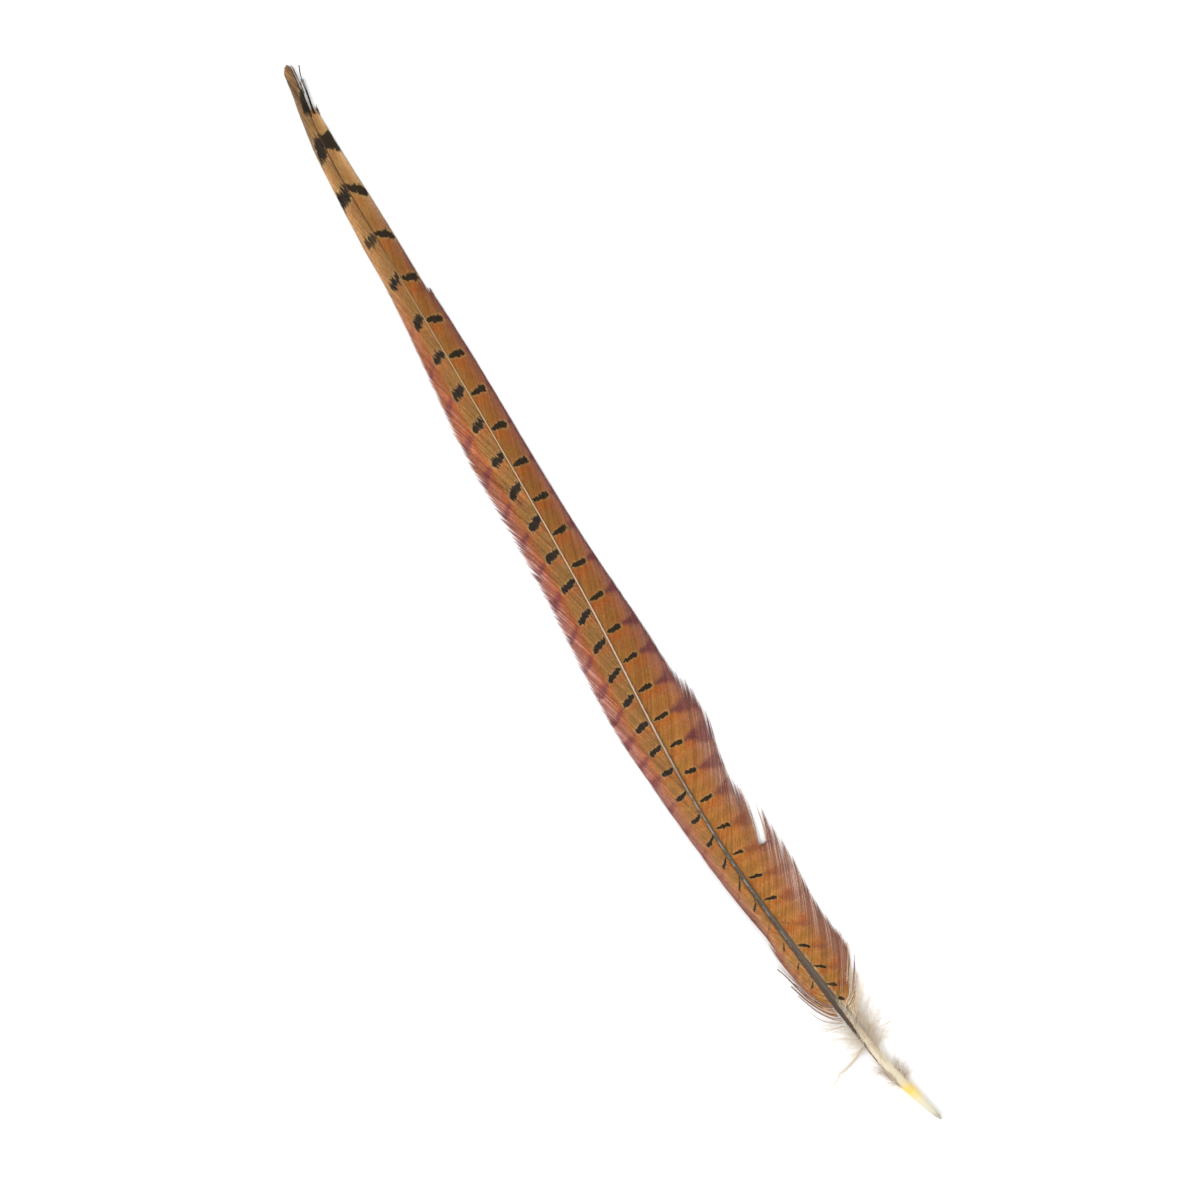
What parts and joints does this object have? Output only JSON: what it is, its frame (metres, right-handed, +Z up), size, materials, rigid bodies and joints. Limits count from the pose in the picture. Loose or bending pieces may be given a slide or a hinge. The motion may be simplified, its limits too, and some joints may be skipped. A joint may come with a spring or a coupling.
{
  "type": "pheasant tail feather",
  "caption": "Long tapering barred tail feather with a bare quill, downy base, split vane edges and a worn tip, lying flat with its outer face up.",
  "frame": {"origin": "on the surface that the feather lies on, under the middle of its bounding box", "axes": "+X along the feather from the quill end to the tip, +Y to the feather's left seen from above, +Z up, with the feather's outer face up"},
  "size_m": [0.48, 0.0351, 0.0067],
  "materials": {
    "shaft": "satin horn: clear off-white and yellow at the quill, dark grey-brown, then pale pinkish buff",
    "vane": "fine barbs, golden brown with black-brown bars, rust and mauve-brown towards the edges",
    "down": "loose cream and grey-brown down"
  },
  "bodies": {
    "root": {"shaft": "shaft", "left_vane": "vane", "right_vane": "vane", "left_down": "down", "right_down": "down"}
  },
  "joints": []
}
